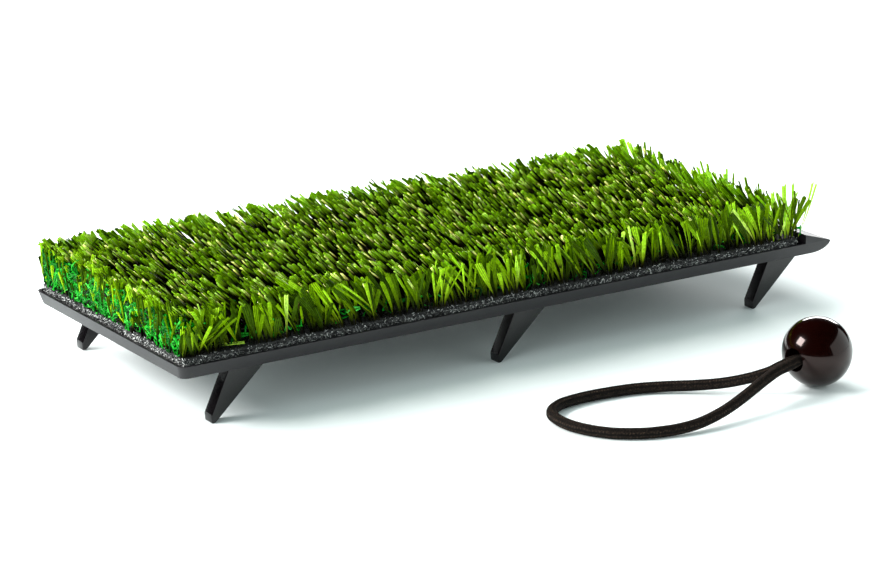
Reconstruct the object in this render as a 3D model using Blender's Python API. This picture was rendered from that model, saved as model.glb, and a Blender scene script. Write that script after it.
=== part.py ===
"""Golf hitting mat: a strip of tufted turf in a moulded tray on six raked ground spikes, and a ball bungee.

Metres, +Z up. The origin is on the ground under the middle of the tray. +X runs along the mat to its ramp
end, and a swing travels towards -X, the way the spikes' tips point. The loose bungee lies in front of the
mat, at -Y.
"""
import math

import bmesh
import bpy
from mathutils import Matrix, Vector

GAP = 0.0003                     # between pieces that touch on the real object

# Tray
TRAY_LENGTH = 0.341
TRAY_WIDTH = 0.131
TRAY_BOTTOM = 0.0226             # the ground to the tray's underside
RIM_TOP = 0.0281
FLOOR_THICKNESS = 0.0022
RIM_THICKNESS = 0.0015
WALL_DRAFT = 0.0016              # how far the outer walls lean in, from the rim's top to the underside
CORNER_RADIUS = 0.0034
RAMP_LENGTH = 0.015
RAMP_RISE = 0.0043               # the ramp's crest above the rim
NOSE_LENGTH = 0.010              # the rounded underside of the ramp end
TIP_THICKNESS = 0.0006
EDGE_ROUND = 0.0003

# Spikes
SPIKE_PITCH = 0.1416
SPIKE_FIRST = 0.0237             # the tray's -X end to the first spike's datum
SPIKE_THICKNESS = 0.0062
SPIKE_ROW_Y = 0.0575             # middle of each row
SPIKE_EDGE_ROUND = 0.0006
FOOT_LEFT = -0.0072
FOOT_RIGHT = -0.0056
TOE_LEFT = -0.0075               # the leading edge meets the upright toe here
TOE_HEIGHT = 0.0035
ROOT_LEFT = 0.0011
ROOT_RIGHT = 0.0187
PEG_RADIUS = 0.0015
PEG_X = 0.0138
PEG_HEIGHT = 0.0016

# Screws
SCREW_X = 0.0056
SCREW_HEAD_RADIUS = 0.00275
SCREW_CORE_RADIUS = 0.00105
SCREW_CREST_RADIUS = 0.00135
SCREW_LENGTH = 0.0102
THREAD_PITCH = 0.0011
PILOT_RADIUS = 0.00175
PILOT_BOTTOM = 0.0136

# Turf
TURF_END_GAP = 0.003             # between the turf's cut end and the ramp
ADHESIVE_THICKNESS = 0.00025
PAD_TOP = 0.0294
BACKING_TOP = 0.0309
PILE_TOP = 0.0505

# Ball bungee
BALL_RADIUS = 0.015
BALL_CENTRE = Vector((0.0827, -0.1588, BALL_RADIUS))
BORE_AZIMUTH = math.radians(186)
BORE_TILT = math.radians(-3.5)
BORE_RADIUS = 0.0047
POCKET_RADIUS = 0.0066
POCKET_START = -0.0032           # along the bore's axis from the ball's centre
CORD_RADIUS = 0.0024
CORD_SQUEEZED_RADIUS = 0.0021    # where the bore's mouth pinches the two strands
STRAND_SPACING = 0.0044
STRAND_TURN = math.radians(18)   # how far the front strand lies above the back one, round the bore
MOUTH_DROP = 0.0007              # how far the cord's weight lets both strands sag in the mouth
CRIMP_START = -0.0036
CRIMP_LENGTH = 0.007
CRIMP_WALL = 0.0008

# The loop's middle line outside the ball, front strand first: straight out of the ball's mouth, down to
# the ground, round the loop and back up to the mouth.
LOOP_ROUTE = (
    (0.0641, -0.1634, 0.0137), (0.0556, -0.1651, 0.0129), (0.0478, -0.1674, 0.0115), (0.0397, -0.1698, 0.0097),
    (0.0323, -0.1719, 0.0079), (0.0241, -0.1740, 0.0061), (0.0152, -0.1757, 0.0045),
    (0.0052, -0.1768, 0.0033), (-0.0040, -0.1762, 0.0027), (-0.0120, -0.1743, 0.00245),
    (-0.0197, -0.1715, 0.00245), (-0.0291, -0.1648, 0.00245), (-0.0356, -0.1548, 0.00245),
    (-0.0382, -0.1435, 0.00245), (-0.0356, -0.1322, 0.00245), (-0.0270, -0.1252, 0.00245),
    (-0.0145, -0.1231, 0.00245), (-0.0015, -0.1237, 0.00245), (0.0115, -0.1261, 0.0025),
    (0.0230, -0.1314, 0.0028), (0.0335, -0.1386, 0.0034), (0.0430, -0.1461, 0.0048),
    (0.0505, -0.1530, 0.0074), (0.0570, -0.1578, 0.0101), (0.0625, -0.1585, 0.0117),
)

FLOOR_TOP = TRAY_BOTTOM + FLOOR_THICKNESS
LEFT_END = -TRAY_LENGTH / 2
RIGHT_END = TRAY_LENGTH / 2
RAMP_START = RIGHT_END - RAMP_LENGTH
TURF_END = RAMP_START - TURF_END_GAP
ROOT_TOP = TRAY_BOTTOM - GAP


# ---------------------------------------------------------------- helpers

def clear_scene():
    for old in list(bpy.data.objects):
        bpy.data.objects.remove(old, do_unlink=True)


def material(name, colour, roughness, metallic=0.0):
    made = bpy.data.materials.new(name)
    made.use_nodes = True
    made.diffuse_color = (*colour, 1.0)
    shader = made.node_tree.nodes["Principled BSDF"]
    shader.inputs["Base Color"].default_value = (*colour, 1.0)
    shader.inputs["Roughness"].default_value = roughness
    shader.inputs["Metallic"].default_value = metallic
    return made


def show(name, mesh, finish, location=(0, 0, 0)):
    """A named object of this mesh, with its material, round surfaces smooth and edges crisp."""
    made = bpy.data.objects.new(name, mesh)
    made.location = location
    bpy.context.scene.collection.objects.link(made)
    if not mesh.materials:
        mesh.materials.append(finish)
    mesh.shade_smooth()
    mesh.set_sharp_from_angle(angle=math.radians(35))
    return made


def mesh_of(bm, name):
    bmesh.ops.recalc_face_normals(bm, faces=bm.faces)
    mesh = bpy.data.meshes.new(name)
    bm.to_mesh(mesh)
    bm.free()
    return mesh


def loft(name, rings):
    """A closed solid through a stack of rings of the same count, flat at both ends."""
    bm = bmesh.new()
    loops = [[bm.verts.new(point) for point in ring] for ring in rings]
    count = len(loops[0])
    for low, high in zip(loops, loops[1:]):
        for i in range(count):
            j = (i + 1) % count
            bm.faces.new((low[i], low[j], high[j], high[i]))
    bm.faces.new(loops[0])
    bm.faces.new(loops[-1])
    return mesh_of(bm, name)


def rounded_rectangle(x_low, x_high, half_width, radius, z, steps=5):
    """A ring in a level plane with round corners, counter-clockwise."""
    corners = ((x_high, half_width, 0), (x_low, half_width, 90), (x_low, -half_width, 180),
               (x_high, -half_width, 270))
    ring = []
    for x, y, start in corners:
        centre_x = x - math.copysign(radius, x - (x_low + x_high) / 2)
        centre_y = y - math.copysign(radius, y)
        for step in range(steps + 1):
            angle = math.radians(start + 90 * step / steps)
            ring.append((centre_x + radius * math.cos(angle), centre_y + radius * math.sin(angle), z))
    return ring


def circle(radius, z, segments=16):
    turns = [2 * math.pi * i / segments for i in range(segments)]
    return [(radius * math.cos(turn), radius * math.sin(turn), z) for turn in turns]


def prism_across(name, outline, half_depth):
    """An outline of (x, z) points, extruded along Y to both sides."""
    rings = [[(x, y, z) for x, z in outline] for y in (-half_depth, half_depth)]
    return loft(name, rings)


def cut(mesh, tools):
    """The mesh after a chain of booleans with (operation, tool mesh, location) tools."""
    body = bpy.data.objects.new("cut_body", mesh)
    helpers = [body]
    bpy.context.scene.collection.objects.link(body)
    for operation, tool_mesh, location in tools:
        tool = bpy.data.objects.new("cut_tool", tool_mesh)
        tool.location = location
        tool.hide_render = True
        tool.display_type = "WIRE"
        bpy.context.scene.collection.objects.link(tool)
        helpers.append(tool)
        boolean = body.modifiers.new(operation.lower(), "BOOLEAN")
        boolean.operation = operation
        boolean.solver = "EXACT"
        boolean.object = tool
    bpy.context.view_layer.update()
    result = bpy.data.meshes.new_from_object(body.evaluated_get(bpy.context.evaluated_depsgraph_get()))
    for helper in helpers:
        bpy.data.objects.remove(helper, do_unlink=True)
    return result


def bevelled(mesh, width, segments, smallest_angle):
    """The mesh with every edge sharper than the smallest angle rounded off."""
    bm = bmesh.new()
    bm.from_mesh(mesh)
    sharp = [edge for edge in bm.edges if edge.calc_face_angle(0.0) > smallest_angle]
    bmesh.ops.bevel(bm, geom=sharp, offset=width, segments=segments, profile=0.5, affect="EDGES",
                    clamp_overlap=True)
    return mesh_of(bm, mesh.name)


# ---------------------------------------------------------------- tray

def draft_inset(z):
    """How far the outer wall stands in from the rim's outline at this height."""
    return WALL_DRAFT * max(0.0, RIM_TOP - z) / (RIM_TOP - TRAY_BOTTOM)


def tray_plan():
    """The tray's outline from above, drafted on three sides, as a block taller than the ramp."""
    rings = []
    for z in (TRAY_BOTTOM - 0.002, TRAY_BOTTOM, RIM_TOP, RIM_TOP + 2 * RAMP_RISE):
        inset = draft_inset(max(z, TRAY_BOTTOM))
        rings.append(rounded_rectangle(LEFT_END + inset, RIGHT_END + CORNER_RADIUS,
                                       TRAY_WIDTH / 2 - inset, CORNER_RADIUS, z))
    return loft("tray_plan", rings)


def tray_side_outline():
    """The tray seen from the side, (x, z): rim, ramp, blunt tip and round nose."""
    outline = [(LEFT_END - 0.002, TRAY_BOTTOM), (LEFT_END - 0.002, RIM_TOP), (RAMP_START, RIM_TOP),
               (RAMP_START, RIM_TOP + RAMP_RISE), (RIGHT_END - TIP_THICKNESS, RIM_TOP),
               (RIGHT_END, RIM_TOP - TIP_THICKNESS)]
    drop = RIM_TOP - TIP_THICKNESS - TRAY_BOTTOM
    for step in range(1, 9):
        angle = math.radians(90 * step / 8)
        outline.append((RIGHT_END - NOSE_LENGTH * (1 - math.cos(angle)),
                        RIM_TOP - TIP_THICKNESS - drop * math.sin(angle)))
    return outline


def tray_cavity():
    """The open trough that the turf lies in, from the floor up past the ramp's crest."""
    rings = []
    for z in (FLOOR_TOP, RIM_TOP, RIM_TOP + 2 * RAMP_RISE):
        inset = draft_inset(z) + RIM_THICKNESS
        rings.append(rounded_rectangle(LEFT_END + inset, RAMP_START, TRAY_WIDTH / 2 - inset, 0.0012, z))
    return loft("tray_cavity", rings)


def screw_hole():
    """Countersunk clearance hole through the floor, about its own axis."""
    neck = PILOT_RADIUS + 0.00005
    mouth = SCREW_HEAD_RADIUS + 0.00045
    sink = mouth - neck
    return loft("screw_hole", [circle(neck, TRAY_BOTTOM - 0.001), circle(neck, FLOOR_TOP - sink),
                               circle(mouth, FLOOR_TOP), circle(mouth, FLOOR_TOP + 0.001)])


def peg_hole():
    radius = PEG_RADIUS + GAP
    return loft("peg_hole", [circle(radius, TRAY_BOTTOM - 0.001), circle(radius, FLOOR_TOP + 0.001)])


def make_tray(plastic):
    side = prism_across("tray", tray_side_outline(), TRAY_WIDTH)
    shell = cut(side, [("INTERSECT", tray_plan(), (0, 0, 0)), ("DIFFERENCE", tray_cavity(), (0, 0, 0))])
    shell = bevelled(shell, EDGE_ROUND, 1, math.radians(40))
    holes = []
    for _, x, y in spike_places():
        holes.append(("DIFFERENCE", screw_hole(), (x + SCREW_X, y, 0)))
        holes.append(("DIFFERENCE", peg_hole(), (x + PEG_X, y, 0)))
    show("tray", cut(shell, holes), plastic)


# ---------------------------------------------------------------- spikes and their screws

def spike_places():
    """(label, x of the spike's datum, y of its middle) for both rows."""
    places = []
    for row, y in (("front", -SPIKE_ROW_Y), ("back", SPIKE_ROW_Y)):
        for index in range(3):
            places.append((f"{row}_{index + 1}", LEFT_END + SPIKE_FIRST + index * SPIKE_PITCH, y))
    return places


def spike_outline():
    """The fin from the side, (x, z): flat foot, round heel, raked trailing edge, root, leading edge."""
    heel_radius = 0.0016
    slope = math.atan2(ROOT_RIGHT - FOOT_RIGHT, ROOT_TOP)          # from the vertical
    turn = math.pi / 2 - slope
    tangent = heel_radius * math.tan(turn / 2)
    start = FOOT_RIGHT - tangent
    outline = [(TOE_LEFT, TOE_HEIGHT), (FOOT_LEFT, 0.0)]
    for step in range(4):
        angle = turn * step / 3
        outline.append((start + heel_radius * math.sin(angle), heel_radius * (1 - math.cos(angle))))
    outline += [(ROOT_RIGHT, ROOT_TOP), (ROOT_LEFT, ROOT_TOP)]
    return outline


def spike_mesh():
    half = SPIKE_THICKNESS / 2
    bm = bmesh.new()
    bm.from_mesh(prism_across("spike", spike_outline(), half))
    rims = []
    for edge in bm.edges:
        low, high = edge.verts
        on_face = abs(low.co.y - high.co.y) < 1e-6
        at_root = min(low.co.z, high.co.z) > ROOT_TOP - 1e-6
        if on_face and not at_root:
            rims.append(edge)
    bmesh.ops.bevel(bm, geom=rims, offset=SPIKE_EDGE_ROUND, segments=2, profile=0.5, affect="EDGES")
    fin = mesh_of(bm, "spike")
    peg = loft("peg", [circle(PEG_RADIUS, ROOT_TOP - 0.002), circle(PEG_RADIUS, ROOT_TOP + PEG_HEIGHT)])
    pilot = loft("pilot", [circle(PILOT_RADIUS, PILOT_BOTTOM), circle(PILOT_RADIUS, ROOT_TOP + 0.002)])
    return cut(fin, [("UNION", peg, (PEG_X, 0, 0)), ("DIFFERENCE", pilot, (SCREW_X, 0, 0))])


def make_spikes(plastic):
    fin = spike_mesh()
    for label, x, y in spike_places():
        show(f"spike_{label}", fin, plastic, (x, y, 0))


def screw_mesh():
    """A countersunk self-tapping screw, head up, with ridges for its thread and a cross recess."""
    head_drop = SCREW_HEAD_RADIUS - SCREW_CREST_RADIUS
    tip = FLOOR_TOP - SCREW_LENGTH
    rings = [circle(0.00015, tip), circle(SCREW_CORE_RADIUS, tip + 0.0016)]
    z = tip + 0.0020
    while z + THREAD_PITCH < FLOOR_TOP - head_drop - 0.0008:
        rings.append(circle(SCREW_CREST_RADIUS, z))
        rings.append(circle(SCREW_CORE_RADIUS, z + THREAD_PITCH / 2))
        z += THREAD_PITCH
    rings += [circle(SCREW_CREST_RADIUS, FLOOR_TOP - head_drop - 0.0004),
              circle(SCREW_CREST_RADIUS, FLOOR_TOP - head_drop),
              circle(SCREW_HEAD_RADIUS, FLOOR_TOP - 0.0001), circle(SCREW_HEAD_RADIUS - 0.0001, FLOOR_TOP)]
    screw = loft("screw", rings)
    slots = []
    for half_x, half_y in ((0.0015, 0.00035), (0.00035, 0.0015)):
        slot = [rounded_rectangle(-half_x * 0.6, half_x * 0.6, half_y * 0.8, 0.0001, FLOOR_TOP - 0.0012, 1),
                rounded_rectangle(-half_x, half_x, half_y, 0.0001, FLOOR_TOP + 0.0004, 1)]
        slots.append(("DIFFERENCE", loft("slot", slot), (0, 0, 0)))
    return cut(screw, slots)


def make_screws(steel):
    screw = screw_mesh()
    for label, x, y in spike_places():
        show(f"screw_{label}", screw, steel, (x + SCREW_X, y, 0))


# ---------------------------------------------------------------- turf

def sheet(name, finish, bottom, top, end_inset, side_inset, radius=0.001):
    """A flat layer in the tray: its insets are from the tray's outline and from the turf's cut end."""
    rings = [rounded_rectangle(LEFT_END + side_inset, TURF_END - end_inset, TRAY_WIDTH / 2 - side_inset,
                               radius, z, 2) for z in (bottom, top)]
    show(name, loft(name, rings), finish)


def make_turf(adhesive, fibre, backing, grass):
    adhesive_bottom = FLOOR_TOP + GAP
    adhesive_top = adhesive_bottom + ADHESIVE_THICKNESS
    sheet("adhesive_sheet", adhesive, adhesive_bottom, adhesive_top, 0.001, 0.0042)
    sheet("shock_pad", fibre, adhesive_top + GAP, PAD_TOP, 0.0, 0.0029)
    sheet("primary_backing", backing, PAD_TOP + GAP, BACKING_TOP, 0.0, 0.0026)
    pile_bottom = BACKING_TOP + GAP
    crown = PILE_TOP - 0.003
    rings = [rounded_rectangle(LEFT_END + 0.0034, TURF_END - 0.001, TRAY_WIDTH / 2 - 0.0034, 0.002, pile_bottom, 3),
             rounded_rectangle(LEFT_END + 0.0026, TURF_END - 0.002, TRAY_WIDTH / 2 - 0.0030, 0.003, crown, 3),
             rounded_rectangle(LEFT_END + 0.0050, TURF_END - 0.006, TRAY_WIDTH / 2 - 0.0055, 0.003, PILE_TOP, 3)]
    show("turf_pile", loft("turf_pile", rings), grass)


# ---------------------------------------------------------------- ball bungee

def bore_frame():
    """The bore's axis, out of the ball's mouth, and the line across it on which the two strands lie."""
    level = math.cos(BORE_TILT)
    axis = Vector((math.cos(BORE_AZIMUTH) * level, math.sin(BORE_AZIMUTH) * level, math.sin(BORE_TILT)))
    level_side = Vector((0, 0, 1)).cross(axis).normalized()
    side = level_side * math.cos(STRAND_TURN) + axis.cross(level_side) * math.sin(STRAND_TURN)
    return axis, side


def bore_matrix():
    """Turns a shape made along its own +Z to lie along the bore, with its +X on the strands' line."""
    axis, across = bore_frame()
    turn = Matrix((across, axis.cross(across), axis)).transposed()
    return Matrix.Translation(BALL_CENTRE) @ turn.to_4x4()


def ball_profile():
    """(distance along the bore, radius) round the ball's wall: outside, pocket, step and bore."""
    lip = 0.0006
    mouth = math.asin((BORE_RADIUS + lip) / BALL_RADIUS)
    back = math.pi - math.asin((POCKET_RADIUS + lip) / BALL_RADIUS)
    profile = []
    steps = 20
    for step in range(steps + 1):
        angle = mouth + (back - mouth) * step / steps
        profile.append((BALL_RADIUS * math.cos(angle), BALL_RADIUS * math.sin(angle)))
    back_end = BALL_RADIUS * math.cos(back)
    mouth_end = BALL_RADIUS * math.cos(mouth)
    profile += [(back_end + lip, POCKET_RADIUS), (POCKET_START, POCKET_RADIUS), (POCKET_START, BORE_RADIUS),
                (mouth_end - lip, BORE_RADIUS)]
    return profile


def make_ball(plastic):
    profile = ball_profile()
    segments = 36
    bm = bmesh.new()
    columns = []
    for i in range(segments):
        turn = 2 * math.pi * i / segments
        columns.append([bm.verts.new((r * math.cos(turn), r * math.sin(turn), z)) for z, r in profile])
    for i in range(segments):
        here, there = columns[i], columns[(i + 1) % segments]
        for j in range(len(profile)):
            k = (j + 1) % len(profile)
            bm.faces.new((here[j], here[k], there[k], there[j]))
    ball = show("bungee_ball", mesh_of(bm, "bungee_ball"), plastic)
    ball.matrix_world = bore_matrix()


def stadium(half_length, radius, z, steps=6):
    """A ring with straight sides and round ends, long in X."""
    ring = []
    for centre_x, start in ((half_length - radius, -90), (radius - half_length, 90)):
        for step in range(steps + 1):
            angle = math.radians(start + 180 * step / steps)
            ring.append((centre_x + radius * math.cos(angle), radius * math.sin(angle), z))
    return ring


def make_crimp(steel):
    """The oval sleeve round both strand ends, in the ball's pocket."""
    inner_radius = CORD_SQUEEZED_RADIUS + GAP
    inner_half = STRAND_SPACING / 2 + inner_radius
    ends = (CRIMP_START - CRIMP_LENGTH, CRIMP_START)
    bm = bmesh.new()
    loops = []
    for half, radius in ((inner_half + CRIMP_WALL, inner_radius + CRIMP_WALL), (inner_half, inner_radius)):
        loops.append([[bm.verts.new(point) for point in stadium(half, radius, z)] for z in ends])
    (outer_low, outer_high), (inner_low, inner_high) = loops
    count = len(outer_low)
    for i in range(count):
        j = (i + 1) % count
        bm.faces.new((outer_low[i], outer_low[j], outer_high[j], outer_high[i]))
        bm.faces.new((inner_low[j], inner_low[i], inner_high[i], inner_high[j]))
        bm.faces.new((outer_high[i], outer_high[j], inner_high[j], inner_high[i]))
        bm.faces.new((outer_low[j], outer_low[i], inner_low[i], inner_low[j]))
    crimp = show("bungee_crimp", mesh_of(bm, "bungee_crimp"), steel)
    crimp.matrix_world = bore_matrix()


def cord_route():
    """The cord's whole middle line: out of the crimp, through the mouth, round the loop and back."""
    axis, across = bore_frame()
    front = []
    back = []
    for along, sag in ((CRIMP_START - CRIMP_LENGTH + 0.0005, 0.0), (0.0, 0.0), (0.008, 0.5), (0.0145, 1.0)):
        middle = BALL_CENTRE + axis * along - axis.cross(across) * MOUTH_DROP * sag
        front.append(middle + across * STRAND_SPACING / 2)
        back.append(middle - across * STRAND_SPACING / 2)
    return front + [Vector(point) for point in LOOP_ROUTE] + back[::-1]


def smooth_line(points, spacing):
    """Points about this far apart on the smooth curve through the given points."""
    line = []
    for i in range(len(points) - 1):
        before = points[max(i - 1, 0)]
        a, b = points[i], points[i + 1]
        after = points[min(i + 2, len(points) - 1)]
        pieces = max(1, round((b - a).length / spacing))
        for piece in range(pieces):
            t = piece / pieces
            line.append(0.5 * (2 * a + (b - before) * t + (2 * before - 5 * a + 4 * b - after) * t * t
                               + (3 * a - before - 3 * b + after) * t ** 3))
    line.append(points[-1])
    return line


def cord_radius_at(point):
    """Full size on the ground, pinched where the two strands share the ball's mouth."""
    axis, _ = bore_frame()
    out = (point - BALL_CENTRE).dot(axis)
    blend = min(1.0, max(0.0, (out - BALL_RADIUS) / 0.008))
    return CORD_SQUEEZED_RADIUS + (CORD_RADIUS - CORD_SQUEEZED_RADIUS) * blend


def make_cord(fabric):
    line = smooth_line(cord_route(), 0.0045)
    curve = bpy.data.curves.new("bungee_cord", "CURVE")
    curve.dimensions = "3D"
    curve.bevel_depth = CORD_RADIUS
    curve.bevel_resolution = 2
    curve.use_fill_caps = True
    spline = curve.splines.new("POLY")
    spline.points.add(len(line) - 1)
    for point, place in zip(spline.points, line):
        point.co = (*place, 1.0)
        point.radius = cord_radius_at(place) / CORD_RADIUS
    curve.materials.append(fabric)
    cord = bpy.data.objects.new("bungee_cord", curve)
    bpy.context.scene.collection.objects.link(cord)


# ---------------------------------------------------------------- the whole object

def build():
    clear_scene()
    tray_plastic = material("tray_plastic", (0.035, 0.034, 0.036), 0.42)
    spike_plastic = material("spike_plastic", (0.012, 0.012, 0.012), 0.22)
    steel = material("zinc_steel", (0.62, 0.62, 0.60), 0.35, 1.0)
    adhesive = material("adhesive", (0.75, 0.72, 0.62), 0.60)
    fibre = material("pad_fibre", (0.16, 0.16, 0.16), 0.92)
    backing = material("backing_fabric", (0.05, 0.05, 0.05), 0.90)
    grass = material("pile_yarn", (0.17, 0.32, 0.03), 0.55)
    cord_fabric = material("cord_braid", (0.022, 0.018, 0.016), 0.80)
    ball_plastic = material("ball_plastic", (0.012, 0.008, 0.007), 0.06)
    make_tray(tray_plastic)
    make_spikes(spike_plastic)
    make_screws(steel)
    make_turf(adhesive, fibre, backing, grass)
    make_ball(ball_plastic)
    make_crimp(steel)
    make_cord(cord_fabric)


build()
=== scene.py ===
"""Looks of the golf hitting mat and its ball bungee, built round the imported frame. Metres, +Z up."""
import math

import bmesh
import bpy
import numpy as np
from mathutils import Matrix, Vector


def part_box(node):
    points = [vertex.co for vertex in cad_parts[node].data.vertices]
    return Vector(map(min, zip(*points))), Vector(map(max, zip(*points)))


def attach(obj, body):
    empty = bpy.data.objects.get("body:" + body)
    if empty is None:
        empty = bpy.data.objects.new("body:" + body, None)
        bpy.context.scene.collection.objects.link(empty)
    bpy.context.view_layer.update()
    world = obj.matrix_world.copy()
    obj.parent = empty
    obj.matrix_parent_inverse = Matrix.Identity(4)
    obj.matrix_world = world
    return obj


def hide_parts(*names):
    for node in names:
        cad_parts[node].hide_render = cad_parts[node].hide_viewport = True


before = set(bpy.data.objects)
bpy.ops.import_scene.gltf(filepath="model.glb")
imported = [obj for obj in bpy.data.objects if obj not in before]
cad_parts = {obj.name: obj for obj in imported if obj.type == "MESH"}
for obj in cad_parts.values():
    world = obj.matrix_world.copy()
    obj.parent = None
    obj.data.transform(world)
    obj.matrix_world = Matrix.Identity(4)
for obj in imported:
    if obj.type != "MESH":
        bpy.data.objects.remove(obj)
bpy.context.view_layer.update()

# Camera, fitted to the mat and the ball
CAMERA_PLACE = Vector((-0.6970, -1.0431, 0.3975))
CAMERA_YAW = 33.617              # degrees, from +Y towards +X
CAMERA_PITCH = 16.967            # degrees below level
CAMERA_LENS = 119.87             # mm, on a sensor 36 mm wide

# Places of the CAD parts
TRAY_LOW, TRAY_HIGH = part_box("tray")
PAD_LOW, PAD_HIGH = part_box("shock_pad")
BACKING_LOW, BACKING_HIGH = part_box("primary_backing")

# Tray, as in the CAD
RIM_HEIGHT = 0.0055
RAMP_LENGTH = 0.015
NOSE_LENGTH = 0.010
TIP_THICKNESS = 0.0006
WALL_DRAFT = 0.0016
CORNER_RADIUS = 0.0034
CAVITY_RADIUS = 0.0012
RIM_THICKNESS = 0.0015
FLOOR_THICKNESS = 0.0022
TRAY_BOTTOM = TRAY_LOW.z
RIM_TOP = TRAY_BOTTOM + RIM_HEIGHT
FLOOR_TOP = TRAY_BOTTOM + FLOOR_THICKNESS
LEFT_END = TRAY_LOW.x
RIGHT_END = TRAY_HIGH.x
RAMP_START = RIGHT_END - RAMP_LENGTH
HALF_WIDTH = TRAY_HIGH.y
OVERCUT = 0.002                  # how far a cutting shape stands out past what it cuts

# Spikes, as in the CAD
SPIKE_PITCH = 0.1416
SPIKE_FIRST = 0.0237
SPIKE_THICKNESS = 0.0062
SPIKE_ROW_Y = 0.0575
SCREW_X = 0.0056
PEG_X = 0.0138
PILOT_RADIUS = 0.00175
PILOT_BOTTOM = 0.0136
PEG_RADIUS = 0.0015
PEG_HEIGHT = 0.0016
PART_GAP = 0.0003                # between a peg or the cord and what it sits in

# Ball bungee, as in the CAD
BALL_RADIUS = 0.015
BALL_CENTRE = Vector((0.0827, -0.1588, BALL_RADIUS))
BORE_AZIMUTH = math.radians(186)
BORE_TILT = math.radians(-3.5)
BORE_RADIUS = 0.0047
POCKET_RADIUS = 0.0066
POCKET_START = -0.0032
CORD_RADIUS = 0.0024
CORD_SQUEEZED_RADIUS = 0.0021
STRAND_SPACING = 0.0044
STRAND_TURN = math.radians(18)
MOUTH_DROP = 0.0007
CRIMP_START = -0.0036
CRIMP_LENGTH = 0.007
LOOP_ROUTE = (
    (0.0641, -0.1634, 0.0137), (0.0556, -0.1651, 0.0129), (0.0478, -0.1674, 0.0115),
    (0.0397, -0.1698, 0.0097), (0.0323, -0.1719, 0.0079), (0.0241, -0.1740, 0.0061),
    (0.0152, -0.1757, 0.0045), (0.0052, -0.1768, 0.0033), (-0.0040, -0.1762, 0.0027),
    (-0.0120, -0.1743, 0.00245), (-0.0197, -0.1715, 0.00245), (-0.0291, -0.1648, 0.00245),
    (-0.0356, -0.1548, 0.00245), (-0.0382, -0.1435, 0.00245), (-0.0356, -0.1322, 0.00245),
    (-0.0270, -0.1252, 0.00245), (-0.0145, -0.1231, 0.00245), (-0.0015, -0.1237, 0.00245),
    (0.0115, -0.1261, 0.0025), (0.0230, -0.1314, 0.0028), (0.0335, -0.1386, 0.0034),
    (0.0430, -0.1461, 0.0048), (0.0505, -0.1530, 0.0074), (0.0570, -0.1578, 0.0101),
    (0.0625, -0.1585, 0.0117),
)

# Turf
LEAN = -0.95                     # in X, per metre of rise, of a blade inside the pile
PILE_RISE = 0.0190               # mean height of a blade above the backing
BLADE_GAP = 0.0008               # between neighbouring blades of a tuft
ROOT_SINK = 0.0002               # how far roots and curls reach into the backing
JAG_POINTS = 7                   # the most points across a blade's cut tip
PILE_LEFT = LEFT_END + 0.0025    # where leaning blades and curls stop


# ---- camera, light and floor

def linked(name, data):
    """A new object in the scene."""
    made = bpy.data.objects.new(name, data)
    bpy.context.scene.collection.objects.link(made)
    return made


def make_camera():
    camera = linked("camera", bpy.data.cameras.new("camera"))
    camera.data.lens = CAMERA_LENS
    camera.data.sensor_width = 36.0
    camera.data.clip_start = 0.05
    camera.location = CAMERA_PLACE
    camera.rotation_euler = (math.radians(90 - CAMERA_PITCH), 0, math.radians(-CAMERA_YAW))
    bpy.context.scene.camera = camera


def soft_light(name, azimuth, elevation, distance, size, power, colour=(1, 1, 1), glossy=True):
    """A rectangular light at this azimuth from +X and elevation, in degrees, facing the mat."""
    data = bpy.data.lights.new(name, "AREA")
    data.shape = "RECTANGLE"
    data.size, data.size_y = size
    data.energy = power
    data.color = colour
    light = linked(name, data)
    turn, lift = math.radians(azimuth), math.radians(elevation)
    away = Vector((math.cos(turn) * math.cos(lift), math.sin(turn) * math.cos(lift), math.sin(lift)))
    light.location = away * distance
    light.rotation_euler = away.to_track_quat("Z", "Y").to_euler()
    light.visible_glossy = glossy


def make_lights():
    fill = (0.90, 1.0, 0.99)
    soft_light("key_light", 161, 35, 2.3, (0.95, 0.90), 82)
    soft_light("back_key", 84, 40, 2.2, (1.7, 1.2), 75, glossy=False)
    soft_light("back_strip", 42, 17.5, 2.0, (1.3, 0.40), 26)
    soft_light("back_card", 100, 5, 2.2, (0.9, 0.4), 3)
    soft_light("front_panel", -38, 18, 1.9, (3.2, 1.25), 20, fill)
    soft_light("overhead", -20, 76, 1.8, (1.8, 1.8), 8, fill, glossy=False)
    soft_light("left_panel", 190, 12, 2.0, (2.2, 0.7), 30, fill, glossy=False)
    world = bpy.data.worlds.new("studio")
    world.use_nodes = True
    background = world.node_tree.nodes["Background"]
    background.inputs["Color"].default_value = (0.75, 0.98, 1.0, 1.0)
    background.inputs["Strength"].default_value = 0.20
    world.cycles_visibility.glossy = False
    bpy.context.scene.world = world
    bpy.context.scene.view_settings.view_transform = "Standard"


def make_floor():
    half = 6.0
    mesh = bpy.data.meshes.new("floor")
    mesh.from_pydata([(-half, -half, 0), (half, -half, 0), (half, half, 0), (-half, half, 0)], [],
                     [(0, 1, 2, 3)])
    floor = linked("floor", mesh)
    white = Paint("floor_white", (0.82, 0.86, 0.85), 0.9)
    white.set("Specular IOR Level", 0.0)
    mesh.materials.append(white.material)


# ---- material helpers

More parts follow.
